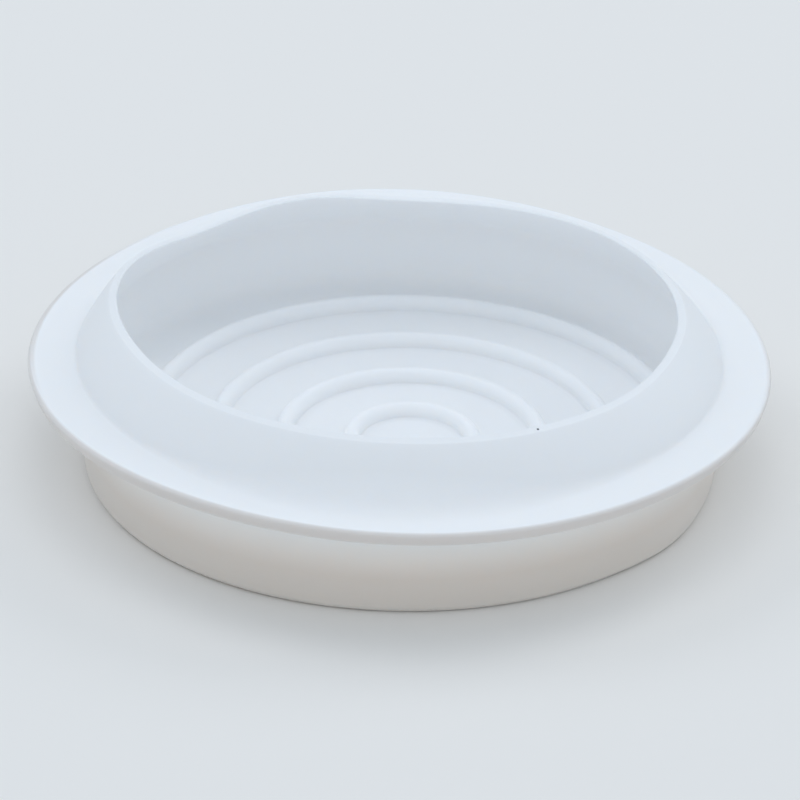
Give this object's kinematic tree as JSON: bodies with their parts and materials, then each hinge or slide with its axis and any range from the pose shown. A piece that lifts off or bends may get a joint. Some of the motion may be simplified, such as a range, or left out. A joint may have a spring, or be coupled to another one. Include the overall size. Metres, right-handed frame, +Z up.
{
  "type": "silicone casting mould",
  "caption": "Round one-piece silicone casting mould: ringed dished floor, straight wall, outer flange and a thin collar leaning in to a narrower mouth.",
  "frame": {"origin": "centre of the flat base, on the surface that the mould stands on", "axes": "+Z up along the mould's axis, out of its mouth; X and Y lie in the base and are interchangeable"},
  "size_m": [0.218, 0.218, 0.051],
  "materials": {
    "white_silicone": "satin white platinum-cure silicone, slightly translucent where it is thin"
  },
  "bodies": {
    "root": {"silicone_mould": "white_silicone"}
  },
  "joints": []
}
